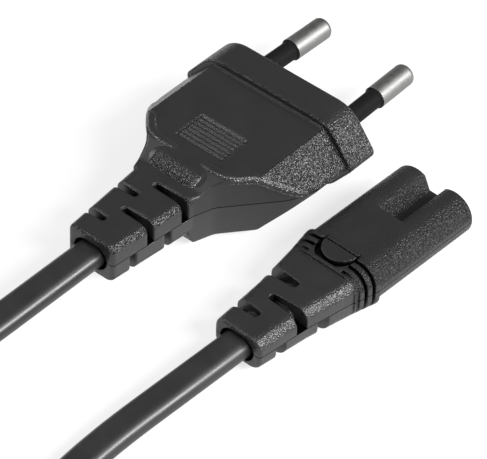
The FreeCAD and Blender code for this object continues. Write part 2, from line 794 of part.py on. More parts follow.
def make_nose(doc, s, frame):
    """A flat rounded bar with a groove from the front in its upper and lower face."""
    body = new_body(doc, "nose_bar", frame)
    sketch = sketch_on(body, "YZ_Plane", "nose_outline")
    stadium(sketch, s.nose_lobe_spacing / 2, s.nose_lobe_diameter / 2)
    pad(body, sketch, "nose_pad", s.nose_length + 1, backwards=True)

    # the groove's floor, its slanted walls up to the round of each lobe, and the space above
    room = new_body(doc, "nose_room", frame)
    mouth = sketch_on(room, "YZ_Plane", "groove_outline")
    low, wide, narrow = s.nose_groove_floor, s.nose_groove_half_width, s.nose_groove_floor_half_width
    high = s.nose_lobe_diameter
    polygon(mouth, ((-narrow, low), (-wide, s.nose_groove_height), (-wide, high), (wide, high),
                    (wide, s.nose_groove_height), (narrow, low)))
    polygon(mouth, ((-narrow, -low), (narrow, -low), (wide, -s.nose_groove_height), (wide, -high),
                    (-wide, -high), (-wide, -s.nose_groove_height)))
    pad(room, mouth, "groove_pad", s.nose_groove_length, backwards=True)

    # between the lobes' middles the bar's flat faces come down to the lobes' rounds
    crowns = []
    for side in (1, -1):
        lobe = new_body(doc, "lobe_%d" % side, frame)
        ring = sketch_on(lobe, "YZ_Plane", "lobe_circle_%d" % side)
        circle(ring, s.nose_lobe_spacing / 2 * side, 0, s.nose_lobe_diameter)
        pad(lobe, ring, "lobe_pad_%d" % side, s.nose_groove_length, backwards=True)
        crowns.append(lobe)
    middle = box(doc, "nose_middle", frame,
                 (-s.nose_groove_length, -s.nose_lobe_spacing / 2, -s.nose_lobe_diameter),
                 (s.nose_groove_length, s.nose_lobe_spacing, s.nose_lobe_diameter * 2))
    web = box(doc, "nose_web", frame, (-s.nose_groove_length, -narrow, -low),
              (s.nose_groove_length, narrow * 2, low * 2))
    spare = cut(doc, "nose_spare", middle, crowns + [web])
    grooved = cut(doc, "nose_grooved", body, [fuse(doc, "nose_grooves", [room, spare])])
    front = frame.Base.x
    return fillet(doc, "nose_rounded", grooved, s.nose_edge_radius,
                  lambda point, direction, edge: abs(point.x - front) < 0.01)


def upright_disc(doc, s, frame, name, radius, behind):
    """An upright cylinder through the ring grip, centred at a distance behind the nose."""
    disc = doc.addObject("Part::Cylinder", name)
    bind(disc, "Radius", radius)
    bind(disc, "Height", s.ring_front_half_height * 4)
    centre = -s.nose_length - behind
    disc.Placement = frame.multiply(
        Placement(Vector(centre.value, 0, -s.ring_front_half_height.value * 2), Rotation()))
    return disc


def make_rings(doc, s, frame):
    """The tapered ring grip: grooves in its sides, and a plain pad, seams and a hollow on both faces."""
    body = new_body(doc, "ring_block", frame)
    inner = new_body(doc, "ring_inner", frame)
    shrink = s.ring_groove_depth
    for owner, less in ((body, Size.of(0)), (inner, shrink)):
        sections = []
        for index, (distance, half_w, half_h) in enumerate((
                (s.nose_length, s.ring_front_half_width, s.ring_front_half_height),
                (s.nose_length + s.ring_length, s.ring_rear_half_width, s.ring_rear_half_height))):
            sketch = sketch_on(owner, "YZ_Plane", "%s_section_%d" % (owner.Name, index), -distance)
            rounded_rectangle(sketch, half_w - less, half_h - less, s.ring_corner_radius - less)
            sections.append(sketch)
        loft(owner, owner.Name + "_loft", sections)
    wide = s.ring_front_half_width + 1
    high = s.ring_front_half_height + 1
    slabs = []
    for index in range(int(s.ring_count.value)):
        rear = -(s.nose_length + s.ring_pitch * index) - s.ring_groove_width
        slabs.append(box(doc, "ring_slab_%d" % index, frame, (rear, -wide, -high),
                         (s.ring_groove_width, wide * 2, high * 2)))
    plain = box(doc, "ring_plain", frame, (-s.nose_length - s.ring_length, -s.ring_groove_start, -high),
                (s.ring_length, s.ring_groove_start * 2, high * 2))
    grooves = cut(doc, "ring_grooves", fuse(doc, "ring_slabs", slabs), [inner, plain])

    # the hollow behind each pad and the two seams in front of it leave the block's middle alone
    floor = s.ring_rear_half_height - s.hollow_depth
    reach = box(doc, "hollow_reach", frame, (-s.nose_length - s.hollow_end, -wide, -high),
                (s.hollow_end, wide * 2, high * 2))
    middle = box(doc, "hollow_middle", frame, (-s.nose_length - s.ring_length, -wide, -floor),
                 (s.ring_length, wide * 2, floor * 2))
    bow = common(doc, "hollow_bow",
                 [upright_disc(doc, s, frame, "hollow_disc", s.hollow_radius, s.hollow_centre), reach])
    hollow = cut(doc, "pad_hollow", bow,
                 [middle, upright_disc(doc, s, frame, "pad_disc", s.pad_radius, s.pad_centre)])
    seam_floor = s.ring_front_half_height - s.seam_depth
    seams = []
    for index in range(2):
        rear = -s.nose_length - s.seam_pitch * index - s.seam_width
        for name, bottom in (("upper", seam_floor), ("lower", -seam_floor - s.seam_depth - 1)):
            seams.append(box(doc, "seam_%s_%d" % (name, index), frame, (rear, -s.seam_half_length, bottom),
                             (s.seam_width, s.seam_half_length * 2, s.seam_depth + 1)))
    return cut(doc, "ring_grip", body, [grooves, hollow] + seams)


def make_contact(doc, s, frame, side, label):
    """A round sleeve contact and its crimp barrel, turned as one profile."""
    own = frame.multiply(Placement(Vector(0, side * s.contact_spacing.value / 2, 0), Rotation()))
    body = new_body(doc, label, own)
    sketch = sketch_on(body, "XY_Plane", label + "_profile")
    bore = s.contact_bore_diameter / 2
    outer = bore + s.contact_wall
    bottom = -s.contact_setback - s.contact_bore_depth
    barrel_rear = -s.contact_barrel_start - s.contact_barrel_length
    wire = s.conductor_diameter / 2
    polygon(sketch, (
        (-s.contact_setback, bore), (-s.contact_setback, outer), (bottom - s.contact_back, outer),
        (bottom - s.contact_back, s.barrel_diameter / 2), (barrel_rear, s.barrel_diameter / 2),
        (barrel_rear, wire),
        (-s.contact_barrel_start, wire), (-s.contact_barrel_start, 0), (bottom, 0), (bottom, bore)))
    revolve(body, sketch, label + "_turning")
    return body


def make_insert(doc, s, frame, contacts):
    block = figure_eight(doc, s, frame, "insert_block", s.insert_lobe_diameter, s.contact_spacing,
                         s.insert_web_height, s.insert_length)
    rooms = []
    for side in (1, -1):
        body = new_body(doc, "entry_%d" % side, frame)
        sketch = sketch_on(body, "YZ_Plane", "entry_circle_%d" % side)
        circle(sketch, s.contact_spacing / 2 * side, 0, s.contact_hole_diameter)
        pad(body, sketch, "entry_pad_%d" % side, s.contact_setback, backwards=True)
        tunnel = new_body(doc, "tunnel_%d" % side, frame)
        ring = sketch_on(tunnel, "YZ_Plane", "tunnel_circle_%d" % side, -s.contact_setback)
        circle(ring, s.contact_spacing / 2 * side, 0, s.contact_bore_diameter)
        pad(tunnel, ring, "tunnel_pad_%d" % side, s.contact_bore_depth, backwards=True)
        rooms.extend((body, tunnel))
    entries = fuse(doc, "insert_rooms", rooms)
    return cut(doc, "connector_insert", block, contacts + [entries]), entries


def make_connector(doc, s):
    frame = connector_frame(s)
    end = connector_length(s)
    sheath_end = end - s.connector_sheath_reach
    contacts = [make_contact(doc, s, frame, side, "contact_" + name)
                for name, side in (("left", 1), ("right", -1))]
    insert, entries = make_insert(doc, s, frame, contacts)
    barrel_rear = s.contact_barrel_start.value + s.contact_barrel_length.value
    cores = []
    for name, side in (("brown", 1), ("blue", -1)):
        beside = side * s.core_spacing.value / 2
        apart = side * s.contact_spacing.value / 2
        start = sheath_end.value
        points = [Vector(-start, beside, 0), Vector(-start + CORE_LEAD, beside, 0),
                  Vector(-barrel_rear - CORE_LEAD, apart, 0), Vector(-barrel_rear, apart, 0)]
        cores.extend(make_core(doc, s, frame, "connector_" + name, points,
                               s.contact_barrel_length.value))
    rings_end = s.nose_length + s.ring_length
    root = rings_end - 1
    relief = make_relief(doc, s, frame, "connector_relief", (
        (root, s.relief_root_half_width, s.relief_root_half_height),
        (rings_end + s.relief_waist, s.relief_waist_half_width, s.relief_waist_half_height),
        (end, s.relief_end_half_width, s.relief_end_half_height)), s.relief_corner_radius)
    sheath = core_prism(doc, s, frame, "connector_sheath_room", sheath_end, end, Size.of(0))
    wall = core_prism(doc, s, frame, "connector_slot_wall", root, end, s.slot_wall)
    mouth = core_prism(doc, s, frame, "connector_mouth", end - s.mouth_depth, end + 1, s.mouth_gap)
    stations = [(rings_end + s.slot_first + s.slot_pitch * index, 1 if index % 2 == 0 else -1)
                for index in range(3)]
    slots = relief_slots(doc, s, frame, "connector_slots", stations,
                         (s.slot_inner_width, s.slot_outer_width),
                         (s.slot_right_start, s.slot_left_start),
                         s.relief_root_half_width + 1, s.relief_root_half_height + 1, wall)
    form = fuse(doc, "connector_form", [make_nose(doc, s, frame), make_rings(doc, s, frame), relief])
    inside = [slots, mouth, sheath, insert, entries] + contacts + cores
    moulding = cut(doc, "connector_body", form, inside)
    return [moulding, insert] + contacts + cores


# cord between the two mouldings

def bends(s, leave, enter, shares):
    """Points between two places, from shares of the way along X and Y and heights in thicknesses."""
    way = enter - leave
    return [Vector(leave.x + way.x * along, leave.y + way.y * across, s.cord_thickness.value * height)
            for along, across, height in shares]


def coil_entry(s, side, height):
    """Where a run meets the band of the coil, on its near or far side."""
    aside = side * s.coil_mean_radius.value * COIL_ENTRY
    return Vector(s.coil_x.value + s.coil_mean_radius.value / 8, s.coil_y.value + aside, height)


def connector_route(s):
    """From the sheath's end inside the connector to the coil's lower layer."""
    start = s.connector_sheath_reach.value - connector_length(s).value / 2
    level = s.connector_axis_height.value
    leave = Vector(start - s.exit_run.value, 0, level)
    enter = coil_entry(s, -1, s.tie_thickness.value + s.cord_width.value / 2)
    return [Vector(start, 0, level), leave] + bends(s, leave, enter, CONNECTOR_BENDS) + [enter]


def plug_route(s):
    """From the sheath's end inside the plug to the coil's upper layer."""
    frame = plug_frame(s)
    start = s.plug_sheath_reach.value - s.plug_relief_end.value
    leave = frame.multVec(Vector(start - s.exit_run.value, 0, 0))
    enter = coil_entry(s, 1, s.tie_thickness.value + s.coil_layer_gap.value + s.cord_width.value * 1.5)
    return [frame.multVec(Vector(start, 0, 0)), leave] + bends(s, leave, enter, PLUG_BENDS) + [enter]


def make_coil(doc, s):
    centre = Placement(Vector(s.coil_x.value, s.coil_y.value, s.tie_thickness.value), Rotation())
    body = new_body(doc, "cord_coil", centre)
    sketch = sketch_on(body, "XZ_Plane", "coil_section")
    inner = s.coil_mean_radius - s.coil_band_width / 2
    outer = s.coil_mean_radius + s.coil_band_width / 2
    high = (s.cord_width + s.coil_layer_gap) * s.coil_layers
    polygon(sketch, ((inner, 0), (outer, 0), (outer, high), (inner, high)))
    axis = next(item for item in body.Origin.OriginFeatures if item.Role == "Z_Axis")
    ring = body.newObject("PartDesign::Revolution", "coil_turning")
    ring.Profile = sketch
    ring.ReferenceAxis = (axis, [""])
    ring.Angle = 360
    doc.recompute()
    round_edges(body, ring, "coil_rounding", s.coil_edge_radius,
                lambda point, direction, edge: abs(direction.z) < 0.01
                and isinstance(edge.Curve, Part.Circle))
    return body


def make_tie(doc, s):
    """A strip round the coil's band, with its two ends twisted together on top."""
    centre = Placement(Vector(s.coil_x.value, s.coil_y.value, 0), Rotation(Z_AXIS, 180))
    inner = s.coil_mean_radius - s.coil_band_width / 2 - s.tie_gap
    outer = s.coil_mean_radius + s.coil_band_width / 2
    high = (s.cord_width + s.coil_layer_gap) * s.coil_layers
    thick = s.tie_thickness
    around = box(doc, "tie_outer", centre, (inner - thick, -s.tie_width / 2, 0),
                 (outer - inner + thick * 2, s.tie_width, high + thick * 2))
    hole = box(doc, "tie_hole", centre, (inner, -s.tie_width / 2 - 1, thick),
               (outer - inner, s.tie_width + 2, high))
    tail = doc.addObject("Part::Cylinder", "tie_tail")
    bind(tail, "Radius", s.tie_tail_diameter / 2)
    bind(tail, "Height", s.tie_tail_length)
    top = thick.value * 1.5 + high.value + s.tie_tail_diameter.value / 2
    tail.Placement = centre.multiply(
        Placement(Vector(s.coil_mean_radius.value, 0, top), Rotation(X_AXIS, -90)))
    return fuse(doc, "coil_tie", [cut(doc, "tie_loop", around, [hole]), tail])


def make_cord(doc, s):
    """Both runs, each ended on the coil's round outer wall."""
    width, thickness = s.cord_width.value, s.cord_thickness.value
    reach = doc.addObject("Part::Cylinder", "coil_reach")
    bind(reach, "Radius", s.coil_mean_radius + s.coil_band_width / 2)
    bind(reach, "Height", s.cord_width * (s.coil_layers + 2))
    reach.Placement = Placement(Vector(s.coil_x.value, s.coil_y.value, -s.cord_width.value), Rotation())
    runs = []
    for label, route in (("cord_connector_run", connector_route(s)), ("cord_plug_run", plug_route(s))):
        tube = flat_tube(route, width, thickness, label)
        raw = shape_feature(doc, label + "_whole", tube)
        runs.append(cut(doc, label, raw, [reach]))
    return runs


def check(doc, nodes):
    for item in doc.Objects:
        for state in item.State:
            if state in ("Invalid", "Error"):
                raise RuntimeError("%s is %s" % (item.Label, state))
    for item in nodes:
        if item.Shape.isNull() or not item.Shape.isValid():
            raise RuntimeError("%s has no valid shape" % item.Label)
        print("%-24s solids %d volume %9.2f" % (item.Label, len(item.Shape.Solids), item.Shape.Volume))


def main():
    doc = FreeCAD.newDocument("power_lead")
    s = make_sheet(doc)
    nodes = make_connector(doc, s) + make_plug(doc, s)
    nodes += [make_coil(doc, s), make_tie(doc, s)] + make_cord(doc, s)
    doc.recompute()
    check(doc, nodes)
    os.makedirs("parts", exist_ok=True)
    for item in nodes:
        item.Shape.exportStep("parts/%s.step" % item.Label)


main()
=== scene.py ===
import math

import bmesh
import bpy
from mathutils import Matrix, Vector


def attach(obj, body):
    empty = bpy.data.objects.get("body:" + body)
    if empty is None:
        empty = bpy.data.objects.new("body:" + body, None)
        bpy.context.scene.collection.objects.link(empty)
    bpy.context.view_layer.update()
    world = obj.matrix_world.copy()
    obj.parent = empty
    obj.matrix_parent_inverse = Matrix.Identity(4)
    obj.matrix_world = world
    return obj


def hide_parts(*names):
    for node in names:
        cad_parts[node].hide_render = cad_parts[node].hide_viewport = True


# A two core mains lead: a figure eight connector, a flat cord and a two pin plug.
# All lengths are in metres unless a name ends in _MM.

MM = 0.001

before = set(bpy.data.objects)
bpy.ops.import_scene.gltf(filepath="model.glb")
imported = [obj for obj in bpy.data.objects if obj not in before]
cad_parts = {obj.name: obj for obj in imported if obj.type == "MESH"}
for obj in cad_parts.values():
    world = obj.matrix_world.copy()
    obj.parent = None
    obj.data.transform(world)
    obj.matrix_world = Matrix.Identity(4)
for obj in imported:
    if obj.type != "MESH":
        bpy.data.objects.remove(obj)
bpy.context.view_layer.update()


# camera at the photograph's angle

CAMERA_PLACE_MM = (-340.674, -278.915, 417.542)
CAMERA_AHEAD = Vector((0.552784, 0.485276, -0.677449))
CAMERA_ROLL = math.radians(2.055)
# lens and sensor width in millimetres, and how near and far the camera sees in metres
CAMERA_LENS = 283.26
CAMERA_SENSOR = 36.0
CAMERA_REACH = (0.01, 20.0)


def make_camera():
    data = bpy.data.cameras.new("camera")
    data.sensor_width = CAMERA_SENSOR
    data.lens = CAMERA_LENS
    data.clip_start, data.clip_end = CAMERA_REACH
    camera = bpy.data.objects.new("camera", data)
    bpy.context.collection.objects.link(camera)
    ahead = CAMERA_AHEAD.normalized()
    right = ahead.cross(Vector((0, 0, 1))).normalized()
    up = right.cross(ahead)
    tilted_right = right * math.cos(CAMERA_ROLL) + up * math.sin(CAMERA_ROLL)
    tilted_up = up * math.cos(CAMERA_ROLL) - right * math.sin(CAMERA_ROLL)
    turn = Matrix((tilted_right, tilted_up, -ahead)).transposed()
    camera.matrix_world = Matrix.Translation(Vector(CAMERA_PLACE_MM) * MM) @ turn.to_4x4()
    bpy.context.scene.camera = camera


# flat cord: its section, its two routes and the coil between them

CORD_WIDTH_MM = 5.7
CORD_THICKNESS_MM = 3.5
SECTION_ARC_STEPS = 8
CORD_RESOLUTION = 10
# middle of the connector's rear end
CORD_EXIT_MM = (-23.55, 0.0, 4.5)
# each route starts at the sheath's end inside its moulding and ends where the coil begins
CONNECTOR_ROUTE_MM = (
    (-12.05, 0.0, 4.5), (-33.05, 0.0, 4.5), (-54.03, 1.61, 2.2), (-72.04, -1.01, 1.9),
    (-87.01, -9.01, 2.0), (-98.03, -16.41, 2.7), (-109.05, -20.61, 3.65))
PLUG_ROUTE_MM = (
    (-13.633, 29.088, 6.85), (-34.623, 28.439, 6.85), (-55.98, 29.39, 4.58), (-72.06, 33.01, 3.01),
    (-86.05, 40.61, 5.0), (-97.51, 47.02, 7.38), (-109.05, 50.61, 9.45))
# two layers of turns: radius of the outermost turn's middle line, and the step from turn to turn
COIL_CENTRE_MM = (-113.0, 15.0)
COIL_OUTER_MM = 37.4
COIL_PITCH_MM = 3.6
COIL_TURNS = 6.5
COIL_POINTS_PER_TURN = 16
# height of either layer, and the share of a turn in which the cord climbs from one to the other
COIL_LOW_MM = 3.65
COIL_HIGH_MM = 9.4
COIL_RISE_TURNS = 0.3
# distances along the cord from either end, between which it turns from lying flat to standing on edge
TWIST_START_MM = 76.0
TWIST_END_MM = 101.0


def smooth_step(value):
    """Zero below 0, one above 1 and a smooth rise between."""
    held = min(1.0, max(0.0, value))
    return held * held * (3 - 2 * held)


def coil_points():
    """Control points of the coil, inwards below and outwards above."""
    points = []
    count = round(COIL_TURNS * COIL_POINTS_PER_TURN)
    # the curve cuts its control points' corners, so these stand further out than the turn
    widen = 1 / math.cos(math.pi / COIL_POINTS_PER_TURN)
    middle = COIL_TURNS / 2
    for index in range(1, count):
        turn = index / COIL_POINTS_PER_TURN
        radius = COIL_OUTER_MM - COIL_PITCH_MM * (middle - abs(turn - middle))
        angle = -math.pi / 2 - 2 * math.pi * turn
        rise = smooth_step((turn - middle) / COIL_RISE_TURNS + 0.5)
        height = COIL_LOW_MM + (COIL_HIGH_MM - COIL_LOW_MM) * rise
        points.append((COIL_CENTRE_MM[0] + radius * widen * math.cos(angle),
                       COIL_CENTRE_MM[1] + radius * widen * math.sin(angle), height))
    return points


def spline_curve(name, points_mm):
    """One open spline whose control points are the route's points."""
    curve = bpy.data.curves.new(name, "CURVE")
    curve.dimensions = "3D"
    curve.resolution_u = CORD_RESOLUTION
    spline = curve.splines.new("NURBS")
    spline.points.add(len(points_mm) - 1)
    for point, place in zip(spline.points, points_mm):
        point.co = (place[0] * MM, place[1] * MM, place[2] * MM, 1)
    spline.order_u = 3
    spline.use_endpoint_u = True
    return curve


def centreline(curve):
    """The points that the spline runs through, in order."""
    carrier = bpy.data.objects.new(curve.name + "_carrier", curve)
    bpy.context.collection.objects.link(carrier)
    bpy.context.view_layer.update()
    evaluated = carrier.evaluated_get(bpy.context.evaluated_depsgraph_get())
    mesh = bpy.data.meshes.new_from_object(evaluated)
    line = [vertex.co.copy() for vertex in mesh.vertices]
    bpy.data.meshes.remove(mesh)
    bpy.data.objects.remove(carrier)
    return line


def flat_section():
    """Points round the flat cord's section: across its width, then across its thickness."""
    radius = CORD_THICKNESS_MM / 2 * MM
    reach = (CORD_WIDTH_MM - CORD_THICKNESS_MM) / 2 * MM
    points = []
    for side, start in ((1, -math.pi / 2), (-1, math.pi / 2)):
        for step in range(SECTION_ARC_STEPS + 1):
            angle = start + math.pi * step / SECTION_ARC_STEPS
            points.append((side * reach + radius * math.cos(angle), radius * math.sin(angle)))
    return points


def sweep(name, line, section, turns):
    """A closed tube along the line. Each station's section is turned by its own angle."""
    mesh = bmesh.new()
    last = len(line) - 1
    rings = []
    for index, place in enumerate(line):
        before = line[max(0, index - 1)]
        after = line[min(last, index + 1)]
        ahead = (after - before).normalized()
        across = Vector((0, 0, 1)).cross(ahead).normalized()
        up = ahead.cross(across).normalized()
        wide = across * math.cos(turns[index]) + up * math.sin(turns[index])
        thin = up * math.cos(turns[index]) - across * math.sin(turns[index])
        rings.append([mesh.verts.new(place + wide * a + thin * b) for a, b in section])
    count = len(section)
    for ring, following in zip(rings, rings[1:]):
        for index in range(count):
            after = (index + 1) % count
            face = mesh.faces.new((ring[index], ring[after], following[after], following[index]))
            face.smooth = True
    mesh.faces.new(rings[0])
    mesh.faces.new(list(reversed(rings[-1])))
    bmesh.ops.recalc_face_normals(mesh, faces=mesh.faces[:])
    data = bpy.data.meshes.new(name)
    mesh.to_mesh(data)
    mesh.free()
    piece = bpy.data.objects.new(name, data)
    bpy.context.collection.objects.link(piece)
    return piece


def make_cord():
    """The whole cord as one flat tube that lies flat at its ends and on its edge in the coil."""
    route = list(CONNECTOR_ROUTE_MM) + coil_points() + list(reversed(PLUG_ROUTE_MM))
    line = centreline(spline_curve("cord_route", route))
    travelled = [0.0]
    for before, after in zip(line, line[1:]):
        travelled.append(travelled[-1] + (after - before).length / MM)
    total = travelled[-1]
    turns = []
    for distance in travelled:
        from_end = min(distance, total - distance)
        share = smooth_step((from_end - TWIST_START_MM) / (TWIST_END_MM - TWIST_START_MM))
        turns.append(math.pi / 2 * share)
    piece = sweep("flat_cord", line, flat_section(), turns)
    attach(piece, "root")
    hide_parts("cord_connector_run", "cord_coil", "cord_plug_run")
    return piece


# rounded ridges and roll that soften the rear of the plug's grip

PLUG_PLACE_MM = (22.35, 30.2, 6.85)
PLUG_TURN = math.radians(1.77)
# distance behind the front, out from the middle and up, along one upper edge of the grip
RIDGE_MM = (
    (25.6, 0.6, 3.9), (25.6, 2.2, 4.75), (25.7, 4.6, 5.0), (25.5, 7.8, 5.0), (24.0, 9.45, 5.0),
    (22.2, 11.0, 5.0), (20.5, 12.4, 3.75), (18.1, 14.25, 1.8), (16.2, 15.3, 0.6), (14.8, 15.3, -0.1))
RIDGE_RADIUS_MM = 1.0
RIDGE_STEPS = 16
# distance behind the front and height of the slope's two ends
SLOPE_TOP_MM = (26.2, 5.65)
SLOPE_FOOT_MM = (30.3, 3.85)
# the roll stands out of the slope by its rise, evenly as far as its flat half length, and goes down
# to its full half length by its sink, which is counted in rises
ROLL_RADIUS_MM = 4.6
ROLL_RISE_MM = 0.6
ROLL_SINK = 1.1
ROLL_FLAT_MM = 2.6
ROLL_REACH_MM = 5.8
ROLL_STATIONS = 24
ROLL_STEPS = 64


def on_plug(behind, out, up):
    """A place given from the middle of the plug's front face, in world metres."""
    x = -behind * math.cos(PLUG_TURN) - out * math.sin(PLUG_TURN)
    y = -behind * math.sin(PLUG_TURN) + out * math.cos(PLUG_TURN)
    return (Vector(PLUG_PLACE_MM) + Vector((x, y, up))) * MM


def grip_piece(name, line, radius_mm, steps):
    """A closed round bar of the plug's own moulding along the line."""
    turns = [2 * math.pi * step / steps for step in range(steps)]
    section = [(radius_mm * MM * math.cos(turn), radius_mm * MM * math.sin(turn)) for turn in turns]
    piece = sweep(name, line, section, [0.0] * len(line))
    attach(piece, "root")
    return piece


def make_ridge(name, side):
    """The rounded upper edge of the grip's rear, on one side of the plug."""
    places = [on_plug(behind, out * side, up) / MM for behind, out, up in RIDGE_MM]
    line = centreline(spline_curve(name + "_line", places))
    return grip_piece(name, line, RIDGE_RADIUS_MM, RIDGE_STEPS)


def make_roll():
    """A shallow roll across the slope, let down into it at both ends."""
    behind = SLOPE_FOOT_MM[0] - SLOPE_TOP_MM[0]
    drop = SLOPE_TOP_MM[1] - SLOPE_FOOT_MM[1]
    slope = math.atan2(drop, behind)
    line = []
    for station in range(ROLL_STATIONS + 1):
        out = ROLL_REACH_MM * (2 * station / ROLL_STATIONS - 1)
        fade = smooth_step((abs(out) - ROLL_FLAT_MM) / (ROLL_REACH_MM - ROLL_FLAT_MM))
        depth = ROLL_RADIUS_MM - ROLL_RISE_MM * (1 - ROLL_SINK * fade)
        line.append(on_plug(SLOPE_TOP_MM[0] + behind / 2 - depth * math.sin(slope), out,
                            SLOPE_TOP_MM[1] - drop / 2 - depth * math.cos(slope)))
    return grip_piece("grip_roll", line, ROLL_RADIUS_MM, ROLL_STEPS)


# material nodes

PLASTIC_IOR = 1.5
# the middle band of a noise, which a ramp stretches over its full range
NOISE_BAND = (0.3, 0.7)
# share of open sky at which a slot is fully painted in shade, and at which a face gets no painted shade
SKY_BAND = (0.30, 0.75)


def grey(level):
    return (level, level, level)


class Nodes:
    """A material's node tree, with short calls for the nodes used here."""

    def __init__(self, name):
        self.material = bpy.data.materials.new(name)
        self.material.use_nodes = True
        self.tree = self.material.node_tree
        self.shader = self.tree.nodes["Principled BSDF"]
        self.output = self.tree.nodes["Material Output"]
        self.place = self.tree.nodes.new("ShaderNodeTexCoord")

    def add(self, kind, inputs=None, **settings):
        node = self.tree.nodes.new(kind)
        for key, value in settings.items():
            setattr(node, key, value)
        for key, value in (inputs or {}).items():
            self.set(node.inputs[key], value)
        return node

    def set(self, socket, value):
        """Links a socket, or writes a plain number or colour on it."""
        if isinstance(value, bpy.types.NodeSocket):
            self.tree.links.new(value, socket)
        else:
            socket.default_value = value

    def noise(self, scale, detail=2.0, roughness=0.5, stretch=(1, 1, 1)):
        mapping = self.add("ShaderNodeMapping", {"Vector": self.place.outputs["Object"], "Scale": stretch})
        node = self.add("ShaderNodeTexNoise", {
            "Vector": mapping.outputs["Vector"], "Scale": scale, "Detail": detail, "Roughness": roughness})
        return node.outputs["Fac"]

    def ramp(self, value, band, start, end):
        """Maps the value from the band to start..end, held at both ends."""
        node = self.add("ShaderNodeMapRange", {
            "Value": value, "From Min": band[0], "From Max": band[1], "To Min": start, "To Max": end})
        return node.outputs["Result"]

    def mix(self, factor, first, second):
        """First colour where the factor is zero, second where it is one."""
        node = self.add("ShaderNodeMix", data_type="RGBA")
        colours = {socket.name: socket for socket in node.inputs if socket.type == "RGBA"}
        self.set(node.inputs["Factor"], factor)
        for key, value in (("A", first), ("B", second)):
            self.set(colours[key], value if isinstance(value, bpy.types.NodeSocket) else (*value, 1))
        return next(socket for socket in node.outputs if socket.type == "RGBA")

    def math(self, operation, first, second=0.0):
        node = self.add("ShaderNodeMath", operation=operation)
        self.set(node.inputs[0], first)
        self.set(node.inputs[1], second)
        return node.outputs[0]

    def times(self, first, second):
        return self.math("MULTIPLY", first, second)

    def bump(self, height, strength, distance, normal=None):
        inputs = {"Height": height, "Strength": strength, "Distance": distance}
        if normal is not None:
            inputs["Normal"] = normal
        return self.add("ShaderNodeBump", inputs).outputs["Normal"]

    def open_share(self, reach):
        """One on open faces, down to zero deep in narrow slots, where shade is painted."""
        node = self.add("ShaderNodeAmbientOcclusion", {"Distance": reach}, samples=8)
        return self.ramp(node.outputs["AO"], SKY_BAND, 0.0, 1.0)

    def away(self, axis, value):
        """Signed distance from one value on one axis."""
        place = self.add("ShaderNodeSeparateXYZ", {"Vector": self.place.outputs["Object"]})
        return self.math("SUBTRACT", place.outputs[axis], value)

    def outside(self, centre, half_size, edge):
        """Zero inside an upright box in plan, one past the soft edge round it."""
        far = [self.ramp(self.math("ABSOLUTE", self.away(axis, centre[index])),
                         (half_size[index], half_size[index] + edge), 0.0, 1.0)
               for index, axis in enumerate("XY")]
        return self.math("MAXIMUM", far[0], far[1])

    def soft_edges(self, radius):
        return self.add("ShaderNodeBevel", {"Radius": radius}, samples=4).outputs["Normal"]

    def finish(self, **inputs):
        for key, value in inputs.items():
            self.set(self.shader.inputs[key.replace("_", " ")], value)
        return self.material


# black moulding compound

# how upright a face's normal is, where smooth walls pass into grained slopes and these into panels
WALL_BAND = (0.08, 0.25)
PANEL_BAND = (0.86, 0.995)
GRAIN_SCALE = 3300.0
GRAIN_DEPTH = 0.00030
# grain heights between which a face passes from dull to glinting
GLINT_BAND = (0.36, 0.64)
WAVE_SCALE = 700.0
WAVE_STRENGTH = 0.08
WAVE_DEPTH = 0.00010
CLOUD_SCALE = 160.0
# distances from the parting line's middle at which it is fully dark and at which it ends
PARTING_BAND = (0.00004, 0.00012)
# heights from the parting line between which the lower half's tone, painted lighter as a painted
# reflection of the pale floor, passes into the upper half's
HALVES_BAND = (-0.0001, 0.0)
# how far a slot's walls may stand apart and still paint shade on each other
SLOT_REACH = 0.0016
UPPER_BLACKS = ((0.0105, 0.0105, 0.011), (0.0155, 0.0155, 0.016))
# painted reflection: the lower half is painted lighter than the upper, as if lit from the pale floor
LOWER_HALF_PAINTED_REFLECTION = (0.018, 0.018, 0.0185)
# painted shade: the near black that deep slots take, also the colour of the dark parting seam
SHADE_AND_SEAM_BLACK = grey(0.001)
COMPOUND_ROUGHNESS = (0.28, 0.35)
SMOOTH_SHINE = 0.5

# parting lines, at the middle of the plug and of the connector
PLUG_PARTING = PLUG_PLACE_MM[2] * MM
CONNECTOR_PARTING = CORD_EXIT_MM[2] * MM
# centre and half size in plan of where the plug's slanted faces are smooth: its bars, and both ends
# of the slope
SMOOTH_BOXES = (((0.0017, 0.0299), (0.0044, 0.0055)), ((-0.0058, 0.0205), (0.0024, 0.0040)),
                ((-0.0058, 0.0381), (0.0024, 0.0040)))
SMOOTH_EDGE = 0.0003
# X at which the connector's ring grip ends, the stretch in which its looks change there, and the
# share of the grain's depth that its strain relief keeps
RELIEF_START = -0.00405
RELIEF_BAND = (-0.0005, 0.0005)
RELIEF_GRAIN = 0.7


def grained_share(nodes, level_grain, smooth_boxes):
    """One on slanted faces, level_grain on walls and panels, zero in the smooth boxes."""
    facing = nodes.add("ShaderNodeSeparateXYZ", {"Vector": nodes.place.outputs["Normal"]})
    upright = nodes.math("ABSOLUTE", facing.outputs["Z"])
    grained = nodes.times(nodes.ramp(upright, WALL_BAND, level_grain, 1.0),
                          nodes.ramp(upright, PANEL_BAND, 1.0, level_grain))
    for centre, half_size in smooth_boxes:
        grained = nodes.times(grained, nodes.outside(centre, half_size, SMOOTH_EDGE))
    return grained


